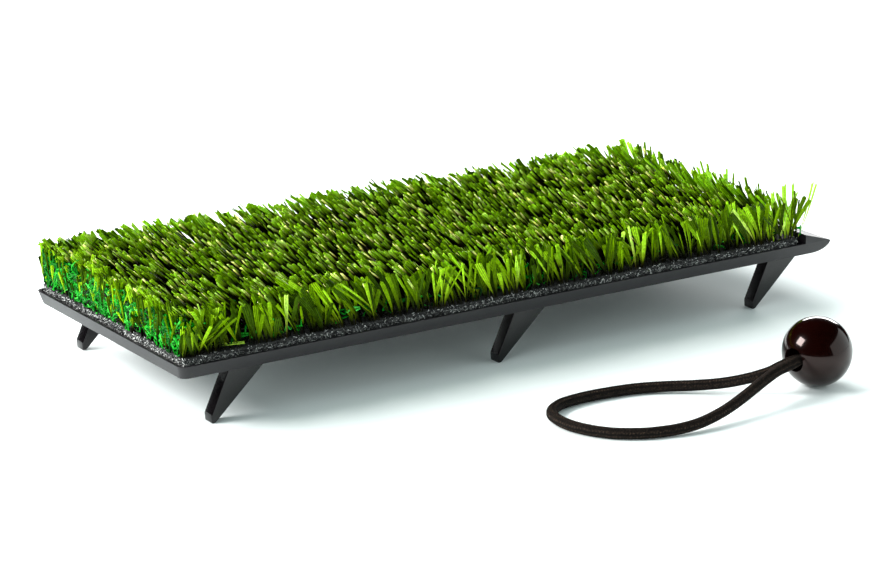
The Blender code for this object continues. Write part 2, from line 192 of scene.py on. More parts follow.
class Paint:
    """A Principled material and short ways to add nodes to it."""

    def __init__(self, name, colour, roughness, metallic=0.0):
        self.material = bpy.data.materials.new(name)
        self.material.use_nodes = True
        self.tree = self.material.node_tree
        self.shader = self.tree.nodes["Principled BSDF"]
        self.feed(self.shader, {"Base Color": (*colour, 1), "Roughness": roughness, "Metallic": metallic})
        self.material.diffuse_color = (*colour, 1)

    def feed(self, node, inputs):
        """Fills a node's inputs, by name or number: a socket is linked, any other value copied."""
        for key, value in inputs.items():
            if isinstance(value, bpy.types.NodeSocket):
                self.tree.links.new(value, node.inputs[key])
            else:
                node.inputs[key].default_value = value

    def set(self, name, value):
        self.feed(self.shader, {name: value})

    def node(self, kind, inputs=None, **settings):
        made = self.tree.nodes.new(kind)
        for key, value in settings.items():
            setattr(made, key, value)
        self.feed(made, inputs or {})
        return made

    def attribute(self, name):
        found = self.node("ShaderNodeAttribute", attribute_name=name, attribute_type="GEOMETRY")
        return found.outputs["Fac"]

    def noise(self, scale, detail=2.0, roughness=0.5, stretch=None):
        place = self.node("ShaderNodeTexCoord").outputs["Object"]
        if stretch:
            place = self.node("ShaderNodeMapping", {"Vector": place, "Scale": stretch}).outputs["Vector"]
        inputs = {"Vector": place, "Scale": scale, "Detail": detail, "Roughness": roughness}
        return self.node("ShaderNodeTexNoise", inputs).outputs["Fac"]

    def ramp(self, source, stops):
        """A colour ramp with (position, colour) stops; a colour may be one number."""
        ramp = self.node("ShaderNodeValToRGB", {"Fac": source})
        elements = ramp.color_ramp.elements
        while len(elements) < len(stops):
            elements.new(0.5)
        for element, (position, colour) in zip(elements, stops):
            element.position = position
            element.color = (*colour, 1) if hasattr(colour, "__len__") else (colour, colour, colour, 1)
        return ramp.outputs["Color"]

    def multiply(self, first, second):
        """One colour times another."""
        inputs = {"Factor": 1.0, "A": first, "B": second}
        return self.node("ShaderNodeMix", inputs, data_type="RGBA", blend_type="MULTIPLY").outputs["Result"]

    def maths(self, operation, *values):
        return self.node("ShaderNodeMath", dict(enumerate(values)), operation=operation).outputs["Value"]

    def colour(self, source):
        self.set("Base Color", source)

    def roughness(self, source, low, high):
        """Roughness that follows the source from low to high."""
        spread = self.node("ShaderNodeMapRange", {"Value": source, "To Min": low, "To Max": high})
        self.set("Roughness", spread.outputs["Result"])

    def bump(self, source, distance, strength=1.0):
        bump = self.node("ShaderNodeBump", {"Height": source, "Distance": distance, "Strength": strength})
        self.set("Normal", bump.outputs["Normal"])


# ---- mesh helpers

def add_object(name, mesh, paint, body, replaces=()):
    """An object on a body, standing for the CAD nodes that it replaces."""
    made = linked(name, mesh)
    mesh.materials.clear()
    mesh.materials.append(paint)
    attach(made, body)
    if replaces:
        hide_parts(*replaces)
    return made


def mesh_from_arrays(name, points, quads, values, caps, sharp_degrees=180):
    """A smooth mesh from points, quads and equal-sided caps, with a number per point for each name."""
    mesh = bpy.data.meshes.new(name)
    mesh.vertices.add(len(points))
    mesh.vertices.foreach_set("co", np.asarray(points, np.float32).ravel())
    groups = (quads, caps)
    corners = np.concatenate([group.ravel() for group in groups]).astype(np.int32)
    sizes = np.concatenate([np.full(len(group), group.shape[1]) for group in groups]).astype(np.int32)
    starts = (np.cumsum(sizes) - sizes).astype(np.int32)
    mesh.loops.add(len(corners))
    mesh.loops.foreach_set("vertex_index", corners)
    mesh.polygons.add(len(sizes))
    mesh.polygons.foreach_set("loop_start", starts)
    for label, numbers in values.items():
        attribute = mesh.attributes.new(label, "FLOAT", "POINT")
        attribute.data.foreach_set("value", np.asarray(numbers, np.float32).ravel())
    mesh.update(calc_edges=True)
    mesh.validate()
    return smoothed(mesh, sharp_degrees)


def tube_faces(items, rings, sides):
    """Quads and end caps of many closed tubes, whose points are ordered item, ring, side."""
    ring = np.arange(rings - 1)[:, None]
    side = np.arange(sides)[None, :]
    after = (side + 1) % sides
    quad = np.stack([ring * sides + side, ring * sides + after, (ring + 1) * sides + after,
                     (ring + 1) * sides + side], axis=-1).reshape(-1, 4)
    start = (np.arange(items) * rings * sides)[:, None, None]
    quads = (quad[None] + start).reshape(-1, 4)
    first = np.arange(sides)[::-1][None] + start[:, 0]
    last = np.arange(sides)[None] + (rings - 1) * sides + start[:, 0]
    return quads, np.concatenate([first, last])


def unit(vectors):
    return vectors / np.maximum(np.linalg.norm(vectors, axis=-1, keepdims=True), 1e-12)


def smoothed(mesh, sharp_degrees):
    """The mesh shaded smooth, apart from edges sharper than this angle."""
    mesh.shade_smooth()
    mesh.set_sharp_from_angle(angle=math.radians(sharp_degrees))
    return mesh


def mesh_of(bm, name, sharp_degrees=30):
    bmesh.ops.recalc_face_normals(bm, faces=bm.faces)
    mesh = bpy.data.meshes.new(name)
    bm.to_mesh(mesh)
    bm.free()
    return smoothed(mesh, sharp_degrees)


def skin(bm, loops):
    """Quads between each ring of vertices and the next, all of the same count."""
    for low, high in zip(loops, loops[1:]):
        for i in range(len(low)):
            j = (i + 1) % len(low)
            bm.faces.new((low[i], low[j], high[j], high[i]))


def loft(name, rings, sharp_degrees=30):
    """A closed solid through a stack of rings of the same count, flat at both ends."""
    bm = bmesh.new()
    loops = [[bm.verts.new(point) for point in ring] for ring in rings]
    skin(bm, loops)
    bm.faces.new(loops[0])
    bm.faces.new(loops[-1])
    return mesh_of(bm, name, sharp_degrees)


def arc(start, span, steps):
    """Angles in radians, in even steps from a start through a span in degrees."""
    return [math.radians(start + span * step / steps) for step in range(steps + 1)]


def rounded_rectangle(x_low, x_high, half_width, radius, z, steps=12):
    """A ring in a level plane with round corners, counter-clockwise."""
    corners = ((x_high, half_width, 0), (x_low, half_width, 90), (x_low, -half_width, 180),
               (x_high, -half_width, 270))
    ring = []
    for x, y, start in corners:
        centre_x = x - math.copysign(radius, x - (x_low + x_high) / 2)
        centre_y = y - math.copysign(radius, y)
        for angle in arc(start, 90, steps):
            ring.append((centre_x + radius * math.cos(angle), centre_y + radius * math.sin(angle), z))
    return ring


def circle(radius, z):
    segments = 32
    turns = [2 * math.pi * i / segments for i in range(segments)]
    return [(radius * math.cos(turn), radius * math.sin(turn), z) for turn in turns]


def rod(name, radius, low, high):
    """A round rod about the Z axis."""
    return loft(name, [circle(radius, low), circle(radius, high)])


def prism_across(name, outline, half_depth):
    """An outline of (x, z) points, extruded along Y to both sides."""
    return loft(name, [[(x, y, z) for x, z in outline] for y in (-half_depth, half_depth)])


def cut(mesh, tools):
    """The mesh after a chain of booleans with (operation, tool mesh, location) tools."""
    body = linked("cut_body", mesh)
    helpers = [body]
    for operation, tool_mesh, location in tools:
        tool = linked("cut_tool", tool_mesh)
        tool.location = location
        helpers.append(tool)
        boolean = body.modifiers.new(operation.lower(), "BOOLEAN")
        boolean.operation = operation
        boolean.solver = "EXACT"
        boolean.object = tool
    bpy.context.view_layer.update()
    result = bpy.data.meshes.new_from_object(body.evaluated_get(bpy.context.evaluated_depsgraph_get()))
    for helper in helpers:
        bpy.data.objects.remove(helper, do_unlink=True)
    return result


def bevelled(mesh, width, segments, smallest_degrees):
    """The mesh with every edge sharper than the smallest angle rounded off."""
    bm = bmesh.new()
    bm.from_mesh(mesh)
    sharp = [edge for edge in bm.edges if edge.calc_face_angle(0.0) > math.radians(smallest_degrees)]
    bmesh.ops.bevel(bm, geom=sharp, offset=width, segments=segments, profile=0.5, affect="EDGES",
                    clamp_overlap=True)
    return mesh_of(bm, mesh.name, 40)


# ---- bungee cord

def bore_frame():
    """The bore's axis, out of the ball's mouth, and the line across it on which the two strands lie."""
    level = math.cos(BORE_TILT)
    axis = Vector((math.cos(BORE_AZIMUTH) * level, math.sin(BORE_AZIMUTH) * level, math.sin(BORE_TILT)))
    level_side = Vector((0, 0, 1)).cross(axis).normalized()
    side = level_side * math.cos(STRAND_TURN) + axis.cross(level_side) * math.sin(STRAND_TURN)
    return axis, side


def bore_matrix():
    """Turns a shape made along its own +Z to lie along the bore, with its +X on the strands' line."""
    axis, across = bore_frame()
    turn = Matrix((across, axis.cross(across), axis)).transposed()
    return Matrix.Translation(BALL_CENTRE) @ turn.to_4x4()


def cord_route():
    """The cord's whole middle line: out of the crimp, through the mouth, round the loop and back."""
    axis, across = bore_frame()
    front, back = [], []
    crimped_end = CRIMP_START - CRIMP_LENGTH + 0.0005
    for along, sag in ((crimped_end, 0.0), (0.0, 0.0), (0.008, 0.5), (0.0145, 1.0)):
        middle = BALL_CENTRE + axis * along - axis.cross(across) * MOUTH_DROP * sag
        front.append(middle + across * STRAND_SPACING / 2)
        back.append(middle - across * STRAND_SPACING / 2)
    return front + [Vector(point) for point in LOOP_ROUTE] + back[::-1]


def smooth_line(points, spacing):
    """Points about this far apart on the smooth curve through the given points."""
    line = []
    for i in range(len(points) - 1):
        before = points[max(i - 1, 0)]
        a, b = points[i], points[i + 1]
        after = points[min(i + 2, len(points) - 1)]
        pieces = max(1, round((b - a).length / spacing))
        for piece in range(pieces):
            t = piece / pieces
            line.append(0.5 * (2 * a + (b - before) * t + (2 * before - 5 * a + 4 * b - after) * t * t
                               + (3 * a - before - 3 * b + after) * t ** 3))
    line.append(points[-1])
    return line


def carried_sides(line):
    """A side vector at each point of a line, carried along it without twisting."""
    points = np.array(line)
    tangents = unit(np.gradient(points, axis=0))
    sides = np.zeros_like(points)
    side = np.cross(tangents[0], (0.0, 0.0, 1.0))
    for i, tangent in enumerate(tangents):
        side = side - tangent * side.dot(tangent)
        side = side / np.linalg.norm(side)
        sides[i] = side
    return points, tangents, sides


def braid_height(turn, along):
    """How high a braid of crossing flat strands stands, 0 to 1, at this turn (0 to 1) and distance."""
    strands = 10                 # strands wound each way
    pitch = 0.0013               # along the cord, from one strand to the next
    right = strands * turn + along / pitch
    left = strands * turn - along / pitch
    over = (np.floor(right) + np.floor(left)) % 2 < 1
    across = np.where(over, right, left) % 1.0 - 0.5
    return np.sqrt(np.clip(1 - (2.0 * across) ** 2, 0, 1)), over


def make_cord():
    """The braided cord as a mesh tube, pinched where both strands share the ball's mouth."""
    spacing = 0.00025
    sides = 48
    strand_depth = 0.0003
    ridges, ridge_depth = 7, 0.0001
    wide_from, wide_over = BALL_RADIUS - 0.003, 0.004
    lowest = 0.00002
    points, tangents, side_vectors = carried_sides(smooth_line(cord_route(), spacing))
    axis, _ = bore_frame()
    out = (points - np.array(BALL_CENTRE)) @ np.array(axis)
    width_share = np.clip((out - wide_from) / wide_over, 0, 1)
    radius = CORD_SQUEEZED_RADIUS + (CORD_RADIUS - CORD_SQUEEZED_RADIUS) * width_share
    along = np.concatenate([[0], np.cumsum(np.linalg.norm(np.diff(points, axis=0), axis=1))])
    turn = np.arange(sides) / sides
    height, over = braid_height(turn[None, :], along[:, None])
    ridge = 0.5 + 0.5 * np.cos(2 * math.pi * ridges * turn)[None, :] * np.ones((len(points), 1))
    reach = radius[:, None] - strand_depth * (1 - height) - ridge_depth * (1 - ridge)
    angle = 2 * math.pi * turn[None, :, None]
    up = np.cross(tangents, side_vectors)
    outward = side_vectors[:, None] * np.cos(angle) + up[:, None] * np.sin(angle)
    surface = points[:, None] + reach[..., None] * outward
    surface[..., 2] = np.maximum(surface[..., 2], lowest)
    quads, caps = tube_faces(1, len(points), sides)
    values = {"height": height, "over": over, "ridge": ridge}
    mesh = mesh_from_arrays("bungee_braid", surface.reshape(-1, 3), quads, values, caps)
    cord = add_object("bungee_braid", mesh, cord_paint(), "bungee", ["bungee_cord"])
    return cord, points, float(along[-1])


def cord_paint():
    """Dull brown-black braid, with painted shade between the strands and fine pale filaments on them."""
    paint = Paint("cord_braid", (0.010, 0.007, 0.005), 0.85)
    # Painted shade down between the strands, with painted light on their crowns.
    colour = paint.ramp(paint.attribute("height"), [
        (0.0, (0.0005, 0.0003, 0.0002)), (0.6, (0.0042, 0.0026, 0.0017)), (1.0, (0.0170, 0.0110, 0.0078))])
    # Painted shade on the under strands and between the lengthwise ridges; painted light on the over
    # strands and the ridges.
    for name, stops in (("over", [(0.0, 0.55), (1.0, 1.30)]), ("ridge", [(0.1, 0.35), (0.9, 1.25)])):
        colour = paint.multiply(colour, paint.ramp(paint.attribute(name), stops))
    fluff = paint.noise(1500, 4.0, 0.75)
    paint.colour(paint.multiply(colour, paint.ramp(fluff, [(0.38, 0.2), (0.52, 1.0), (0.66, 3.6)])))
    paint.bump(fluff, 0.0003, 0.7)
    paint.set("Specular IOR Level", 0.15)
    return paint.material


# ---- ball and crimp

def ball_profile():
    """(distance along the bore, radius) round the ball's wall: outside, pocket, step and bore."""
    lip = 0.0005
    mouth = math.asin((BORE_RADIUS + lip) / BALL_RADIUS)
    back = math.pi - math.asin((POCKET_RADIUS + lip) / BALL_RADIUS)
    ball_steps, lip_steps = 72, 4
    profile = []
    for step in range(ball_steps + 1):
        angle = mouth + (back - mouth) * step / ball_steps
        profile.append((BALL_RADIUS * math.cos(angle), BALL_RADIUS * math.sin(angle)))
    back_end = BALL_RADIUS * math.cos(back)
    mouth_end = BALL_RADIUS * math.cos(mouth)
    for angle in arc(0, 90, lip_steps)[1:]:
        profile.append((back_end + lip * math.sin(angle), POCKET_RADIUS + lip * (1 - math.sin(angle))))
    profile += [(POCKET_START, POCKET_RADIUS), (POCKET_START, BORE_RADIUS)]
    for angle in arc(0, 90, lip_steps)[:-1]:
        profile.append((mouth_end - lip * math.cos(angle), BORE_RADIUS + lip * (1 - math.cos(angle))))
    return profile


def make_ball():
    profile = ball_profile()
    segments = 128
    bm = bmesh.new()
    columns = []
    for i in range(segments):
        turn = 2 * math.pi * i / segments
        columns.append([bm.verts.new((r * math.cos(turn), r * math.sin(turn), z)) for z, r in profile])
    skin(bm, columns + columns[:1])
    mesh = mesh_of(bm, "ball_shell", 50)
    mesh.transform(bore_matrix())
    add_object("ball_shell", mesh, ball_paint(), "ball", ["bungee_ball"])


def ball_paint():
    """Brown-black moulded plastic with a high polish and very faint handling marks."""
    paint = Paint("ball_plastic", (0.004, 0.0006, 0.0004), 0.06)
    marks = paint.noise(260, 4.0, 0.6)
    paint.colour(paint.ramp(marks, [(0.3, (0.0034, 0.0004, 0.0003)), (0.7, (0.0050, 0.0007, 0.0004))]))
    paint.roughness(marks, 0.05, 0.09)
    paint.feed(paint.shader, {"Specular IOR Level": 0.28, "Specular Tint": (1.0, 0.78, 0.74, 1.0),
                              "Coat Weight": 0.12, "Coat Roughness": 0.22})
    return paint.material


def stadium(half_length, radius, z):
    """A ring with straight sides and round ends, long in X."""
    steps = 14
    ring = []
    for centre_x, start in ((half_length - radius, -90), (radius - half_length, 90)):
        for angle in arc(start, 180, steps):
            ring.append((centre_x + radius * math.cos(angle), radius * math.sin(angle), z))
    return ring


def make_crimp():
    """The oval sleeve round both strand ends, pressed in with two grooves."""
    wall = 0.0008
    groove = 0.0003
    inner_radius = CORD_SQUEEZED_RADIUS + PART_GAP
    inner_half = STRAND_SPACING / 2 + inner_radius
    stations = 28
    bm = bmesh.new()
    outer, inner = [], []
    for i in range(stations + 1):
        share = i / stations
        z = CRIMP_START - CRIMP_LENGTH * (1 - share)
        stand = wall - groove * math.sin(2 * math.pi * share) ** 2
        for ring, extra in ((outer, stand), (inner, 0.0)):
            points = stadium(inner_half + extra, inner_radius + extra, z)
            ring.append([bm.verts.new(point) for point in points])
    skin(bm, outer + inner[::-1] + outer[:1])
    mesh = mesh_of(bm, "crimp_sleeve", 40)
    mesh.transform(bore_matrix())
    paint = steel_paint("crimp_steel")
    return add_object("crimp_sleeve", mesh, paint, "bungee", ["bungee_crimp"])


def steel_paint(name):
    """Zinc plate: cool grey metal, slightly cloudy."""
    paint = Paint(name, (0.62, 0.62, 0.60), 0.35, 1.0)
    cloud = paint.noise(900, 3.0, 0.6)
    paint.colour(paint.ramp(cloud, [(0.3, 0.50), (0.7, (0.70, 0.70, 0.66))]))
    paint.roughness(cloud, 0.25, 0.48)
    paint.bump(cloud, 0.00003, 0.5)
    return paint.material


# ---- tray

def draft_inset(z):
    """How far the outer wall stands in from the rim's outline at this height."""
    return WALL_DRAFT * max(0.0, RIM_TOP - z) / RIM_HEIGHT


def drafted(name, heights, x_high, thickness, radius):
    """A plan of the tray through these heights, this thickness inside its drafted outer wall."""
    rings = []
    for z in heights:
        inset = draft_inset(max(z, TRAY_BOTTOM)) + thickness
        rings.append(rounded_rectangle(LEFT_END + inset, x_high, HALF_WIDTH - inset, radius, z))
    return loft(name, rings)


def tray_side_outline():
    """The tray seen from the side, (x, z): rim, ramp, blunt tip and round nose."""
    outline = [(LEFT_END - OVERCUT, TRAY_BOTTOM), (LEFT_END - OVERCUT, RIM_TOP), (RAMP_START, RIM_TOP),
               (RAMP_START, TRAY_HIGH.z), (RIGHT_END - TIP_THICKNESS, RIM_TOP),
               (RIGHT_END, RIM_TOP - TIP_THICKNESS)]
    drop = RIM_TOP - TIP_THICKNESS - TRAY_BOTTOM
    steps = 20
    for angle in arc(0, 90, steps)[1:]:
        outline.append((RIGHT_END - NOSE_LENGTH * (1 - math.cos(angle)),
                        RIM_TOP - TIP_THICKNESS - drop * math.sin(angle)))
    return outline


def spike_places():
    """(label, x of the spike's datum, y of its middle) for both rows."""
    places = []
    for row, y in (("front", -SPIKE_ROW_Y), ("back", SPIKE_ROW_Y)):
        for index in range(3):
            places.append((f"{row}_{index + 1}", LEFT_END + SPIKE_FIRST + index * SPIKE_PITCH, y))
    return places


def screw_hole(below, above):
    """Countersunk hole through the tray's floor, cut from below it to above it."""
    neck, mouth = 0.0018, 0.0032
    return loft("screw_hole", [circle(neck, below), circle(neck, FLOOR_TOP - mouth + neck),
                               circle(mouth, FLOOR_TOP), circle(mouth, above)])


def make_tray():
    side = prism_across("tray_moulding", tray_side_outline(), 2 * HALF_WIDTH)
    clear = TRAY_HIGH.z + 2 * OVERCUT
    plan = drafted("tray_plan", (TRAY_BOTTOM - OVERCUT, TRAY_BOTTOM, RIM_TOP, clear),
                   RIGHT_END + CORNER_RADIUS, 0.0, CORNER_RADIUS)
    cavity = drafted("tray_cavity", (FLOOR_TOP, RIM_TOP, clear), RAMP_START, RIM_THICKNESS, CAVITY_RADIUS)
    shell = cut(side, [("INTERSECT", plan, (0, 0, 0)), ("DIFFERENCE", cavity, (0, 0, 0))])
    shell = bevelled(shell, 0.00042, 3, 35)
    below, above = TRAY_BOTTOM - OVERCUT / 2, FLOOR_TOP + OVERCUT / 2
    holes = []
    for _, x, y in spike_places():
        peg_hole = rod("peg_hole", PEG_RADIUS + PART_GAP, below, above)
        holes.append(("DIFFERENCE", screw_hole(below, above), (x + SCREW_X, y, 0)))
        holes.append(("DIFFERENCE", peg_hole, (x + PEG_X, y, 0)))
    mesh = smoothed(cut(shell, holes), 15)
    add_object("tray_moulding", mesh, tray_paint(), "mat", ["tray"])


def tray_paint():
    """Satin black moulding with a fine spark texture."""
    paint = Paint("tray_plastic", (0.010, 0.009, 0.011), 0.38)
    cloud = paint.noise(45, 3.0, 0.55)
    grain = paint.noise(5200, 2.0, 0.6)
    paint.colour(paint.ramp(cloud, [(0.3, (0.0062, 0.0046, 0.0062)), (0.7, (0.0090, 0.0072, 0.0090))]))
    paint.roughness(cloud, 0.34, 0.46)
    paint.bump(grain, 0.00003, 0.5)
    paint.set("Specular IOR Level", 0.44)
    return paint.material


# ---- spikes

def spike_outline(root_top):
    """The fin from the side, (x, z): flat foot, round heel, raked trailing edge, root, leading edge."""
    foot_left, foot_right = -0.0072, -0.0056
    toe_left, toe_height = -0.0075, 0.0035
    root_left, root_right = 0.0011, 0.0187
    heel_radius = 0.0016
    turn = math.pi / 2 - math.atan2(root_right - foot_right, root_top)
    start = foot_right - heel_radius * math.tan(turn / 2)
    outline = [(toe_left, toe_height), (foot_left, 0.0)]
    steps = 8
    for step in range(steps + 1):
        angle = turn * step / steps
        outline.append((start + heel_radius * math.sin(angle), heel_radius * (1 - math.cos(angle))))
    outline += [(root_right, root_top), (root_left, root_top)]
    return outline


def make_spikes():
    root_top = TRAY_BOTTOM - 0.0001
    edge_round = 0.00055
    tiny = 1e-6
    bm = bmesh.new()
    bm.from_mesh(prism_across("spike_fin", spike_outline(root_top), SPIKE_THICKNESS / 2))
    rims = []
    for edge in bm.edges:
        low, high = edge.verts
        on_face = abs(low.co.y - high.co.y) < tiny
        at_root = min(low.co.z, high.co.z) > root_top - tiny
        if not at_root and (on_face or edge.calc_face_angle(0.0) > math.radians(20)):
            rims.append(edge)
    bmesh.ops.bevel(bm, geom=rims, offset=edge_round, segments=4, profile=0.5, affect="EDGES")
    pilot = rod("pilot", PILOT_RADIUS, PILOT_BOTTOM, root_top + OVERCUT)
    peg = rod("peg", PEG_RADIUS, root_top - OVERCUT, root_top + PEG_HEIGHT)
    tools = [("UNION", peg, (PEG_X, 0, 0)), ("DIFFERENCE", pilot, (SCREW_X, 0, 0))]
    mesh = smoothed(cut(mesh_of(bm, "spike_fin", 40), tools), 15)
    paint = spike_paint()
    for label, x, y in spike_places():
        placed = mesh.copy()
        placed.transform(Matrix.Translation((x, y, 0)))
        add_object(f"spike_{label}_fin", placed, paint, "mat", [f"spike_{label}"])


def spike_paint():
    """Black moulding, smoother than the tray, faintly cloudy."""
    paint = Paint("spike_plastic", (0.003, 0.0024, 0.0028), 0.16)
    cloud = paint.noise(60, 3.0, 0.55)
    paint.colour(paint.ramp(cloud, [(0.3, (0.0022, 0.0016, 0.0020)), (0.7, (0.0040, 0.0032, 0.0038))]))
    paint.roughness(cloud, 0.12, 0.20)
    paint.bump(paint.noise(3000, 2.0, 0.6), 0.00002, 0.35)
    paint.set("Specular IOR Level", 0.38)
    return paint.material


# ---- pad, backing and their cut edges

def rough_slab(name, low, high, roughness, seed):
    """A flat layer whose cut edge wanders in and out, from a fine grid of its outline."""
    rng = np.random.default_rng(seed)
    layers, corner_radius, spacing = 6, 0.001, 0.0006
    ring = np.array(rounded_rectangle(low.x, high.x, high.y, corner_radius, 0.0, 6))
    dense = []
    for a, b in zip(ring, np.roll(ring, -1, axis=0)):
        pieces = max(1, int(np.linalg.norm(b - a) / spacing))
        dense += [a + (b - a) * piece / pieces for piece in range(pieces)]
    dense = np.array(dense)
    centre = (np.array((low.x, low.y, 0)) + np.array((high.x, high.y, 0))) / 2
    inward = unit(centre - dense) * [1, 1, 0]
    count = len(dense)
    rings = []
    for layer in range(layers):
        lifted = dense + np.abs(rng.normal(0, roughness, count))[:, None] * inward
        lifted[:, 2] = low.z + (high.z - low.z) * layer / (layers - 1)
        if 0 < layer < layers - 1:
            lifted[:, 2] += rng.normal(0, roughness * 0.25, count)
        rings.append(lifted)
    return loft(name, rings, 180)


def make_layers():
    pad_mesh = rough_slab("pad_core", PAD_LOW, PAD_HIGH, 0.0003, 11)
    pad = add_object("pad_core", pad_mesh, pad_paint(), "mat", ["shock_pad"])
    cloth = rough_slab("backing_cloth", BACKING_LOW, BACKING_HIGH, 0.0002, 12)
    backing = add_object("backing_cloth", cloth, backing_paint(), "mat",
                         ["primary_backing"])


def pad_paint():
    """Bonded waste fibre: black with grey and pale flecks."""
    paint = Paint("pad_fibre", (0.10, 0.10, 0.10), 0.9)
    flecks = paint.noise(1500, 3.0, 0.7)
    paint.colour(paint.ramp(flecks, [
        (0.40, 0.012), (0.52, 0.06), (0.62, (0.30, 0.30, 0.29)), (0.75, (0.60, 0.60, 0.58))]))
    paint.bump(flecks, 0.0004)
    return paint.material


def backing_paint():
    """Woven black backing under a skin of latex."""
    paint = Paint("backing_fabric", (0.05, 0.05, 0.05), 0.85)
    weave = paint.noise(1200, 2.0, 0.6, (1.0, 1.0, 3.0))
    paint.colour(paint.ramp(weave, [
        (0.40, 0.004), (0.60, (0.02, 0.02, 0.019)), (0.75, (0.10, 0.10, 0.095))]))
    paint.bump(weave, 0.0003)
    return paint.material


def make_edge_fibres():
    """Chopped fibre ends along the cut edge of the pad and its backing, each a short bent prism."""
    rng = np.random.default_rng(21)
    count = 7500
    half_x = (PAD_HIGH.x - PAD_LOW.x) / 2
    half_y = (PAD_HIGH.y - PAD_LOW.y) / 2
    middle_x = (PAD_HIGH.x + PAD_LOW.x) / 2
    walk = rng.uniform(0, 4 * (half_x + half_y), count)
    place = np.zeros((count, 3))
    outward = np.zeros((count, 3))
    start = 0.0
    for out_x, out_y in ((0, -1), (1, 0), (0, 1), (-1, 0)):
        length = 2 * half_x if out_x == 0 else 2 * half_y
        on_edge = (walk >= start) & (walk < start + length)
        share = (walk[on_edge] - start) / length * 2 - 1
        place[on_edge, 0] = middle_x + half_x * (share if out_x == 0 else out_x)
        place[on_edge, 1] = half_y * (share if out_y == 0 else out_y)
        outward[on_edge] = (out_x, out_y, 0)
        start += length
    place[:, 2] = rng.uniform(RIM_TOP - 0.0005, BACKING_HIGH.z, count)
    place += outward * rng.uniform(-0.0005, 0.0002, count)[:, None]
    direction = unit(rng.normal(0, 1, (count, 3)) + outward * 0.4)
    bend = unit(rng.normal(0, 1, (count, 3)))
    length = rng.uniform(0.0008, 0.0022, count)[:, None, None]
    t = np.linspace(-0.5, 0.5, 4)[None, :, None]
    line = place[:, None] + direction[:, None] * length * t + bend[:, None] * length * 0.5 * (0.25 - t * t)
    line[..., 2] = np.clip(line[..., 2], RIM_TOP - 0.0008, BACKING_HIGH.z + 0.0004)
    radius = rng.uniform(0.00009, 0.00024, count)
    # Fibres on the left end are toned lighter, as painted light on the lit end.
    tone = np.clip(rng.uniform(0, 1, count) + 0.10 * (outward[:, 0] < 0), 0, 1)
    mesh = fibre_mesh("edge_fibres", line, radius, 3, tone)
    add_object("edge_fibres", mesh, fibre_paint(), "mat")


def fibre_mesh(name, lines, radius, sides, tone):
    """Thin prisms along many lines, (fibres, rings, 3), each with its own radius and tone."""
    count, rings, _ = lines.shape
    tangents = unit(np.gradient(lines, axis=1))
    reference = np.where(np.abs(tangents[..., 2:]) > 0.8, [[[1.0, 0, 0]]], [[[0, 0, 1.0]]])
    side = unit(np.cross(tangents, reference))
    up = np.cross(tangents, side)
    angle = (2 * math.pi * np.arange(sides) / sides)[:, None]
    ring = side[:, :, None] * np.cos(angle) + up[:, :, None] * np.sin(angle)
    surface = lines[:, :, None] + ring * radius.reshape(count, 1, 1, 1)
    quads, caps = tube_faces(count, rings, sides)
    values = {"tone": np.repeat(tone, rings * sides)}
    return mesh_from_arrays(name, surface.reshape(-1, 3), quads, values, caps)


def fibre_paint():
    """Fibre ends from black through grey to off-white, one tone each."""
    paint = Paint("pad_fibre_ends", (0.2, 0.2, 0.2), 0.6)
    paint.colour(paint.ramp(paint.attribute("tone"), [
        (0.0, 0.002), (0.5, 0.02), (0.7, (0.16, 0.16, 0.155)), (1.0, (0.80, 0.80, 0.77))]))
    paint.bump(paint.noise(4000, 2.0), 0.00005, 0.5)
    return paint.material


# ---- turf

def smooth_step(values, low, high):
    share = np.clip((values - low) / (high - low), 0, 1)
    return share * share * (3 - 2 * share)


def tuft_roots(rng):
    """Tuft positions: a loose grid over the backing, with a closer row along each of its edges."""
    pitch, edge_pitch, margin = 0.0058, 0.0038, 0.0008
    low = np.array(BACKING_LOW.xy) + margin
    high = np.array(BACKING_HIGH.xy) - margin
    xs = np.arange(low[0] + pitch / 2, high[0], pitch)
    ys = np.arange(low[1] + pitch / 2, high[1], pitch)
    rows = [np.stack(np.meshgrid(xs, ys, indexing="ij"), axis=-1).reshape(-1, 2)]
    along_x = np.arange(low[0], high[0], edge_pitch)
    along_y = np.arange(low[1], high[1], edge_pitch)
    for y in (low[1], high[1]):
        rows.append(np.stack([along_x, np.full_like(along_x, y)], axis=-1))
    for x in (low[0], high[0]):
        rows.append(np.stack([np.full_like(along_y, x), along_y], axis=-1))
    roots = np.concatenate(rows)
    roots = roots + rng.normal(0, 0.0007, roots.shape)
    return np.clip(roots, low - 0.0006, high + 0.0006)


def edge_shares(roots):
    """How much each root belongs to the front, back, left and right edge, 0 to 1."""
    x, y = roots[:, 0], roots[:, 1]
    front = 1 - smooth_step(y, BACKING_LOW.y + 0.001, BACKING_LOW.y + 0.0048)
    back = smooth_step(y, BACKING_HIGH.y - 0.006, BACKING_HIGH.y - 0.001)
    left = 1 - smooth_step(x, BACKING_LOW.x + 0.002, BACKING_LOW.x + 0.017)
    right = smooth_step(x, BACKING_HIGH.x - 0.010, BACKING_HIGH.x - 0.001)
    return front, back, left, right


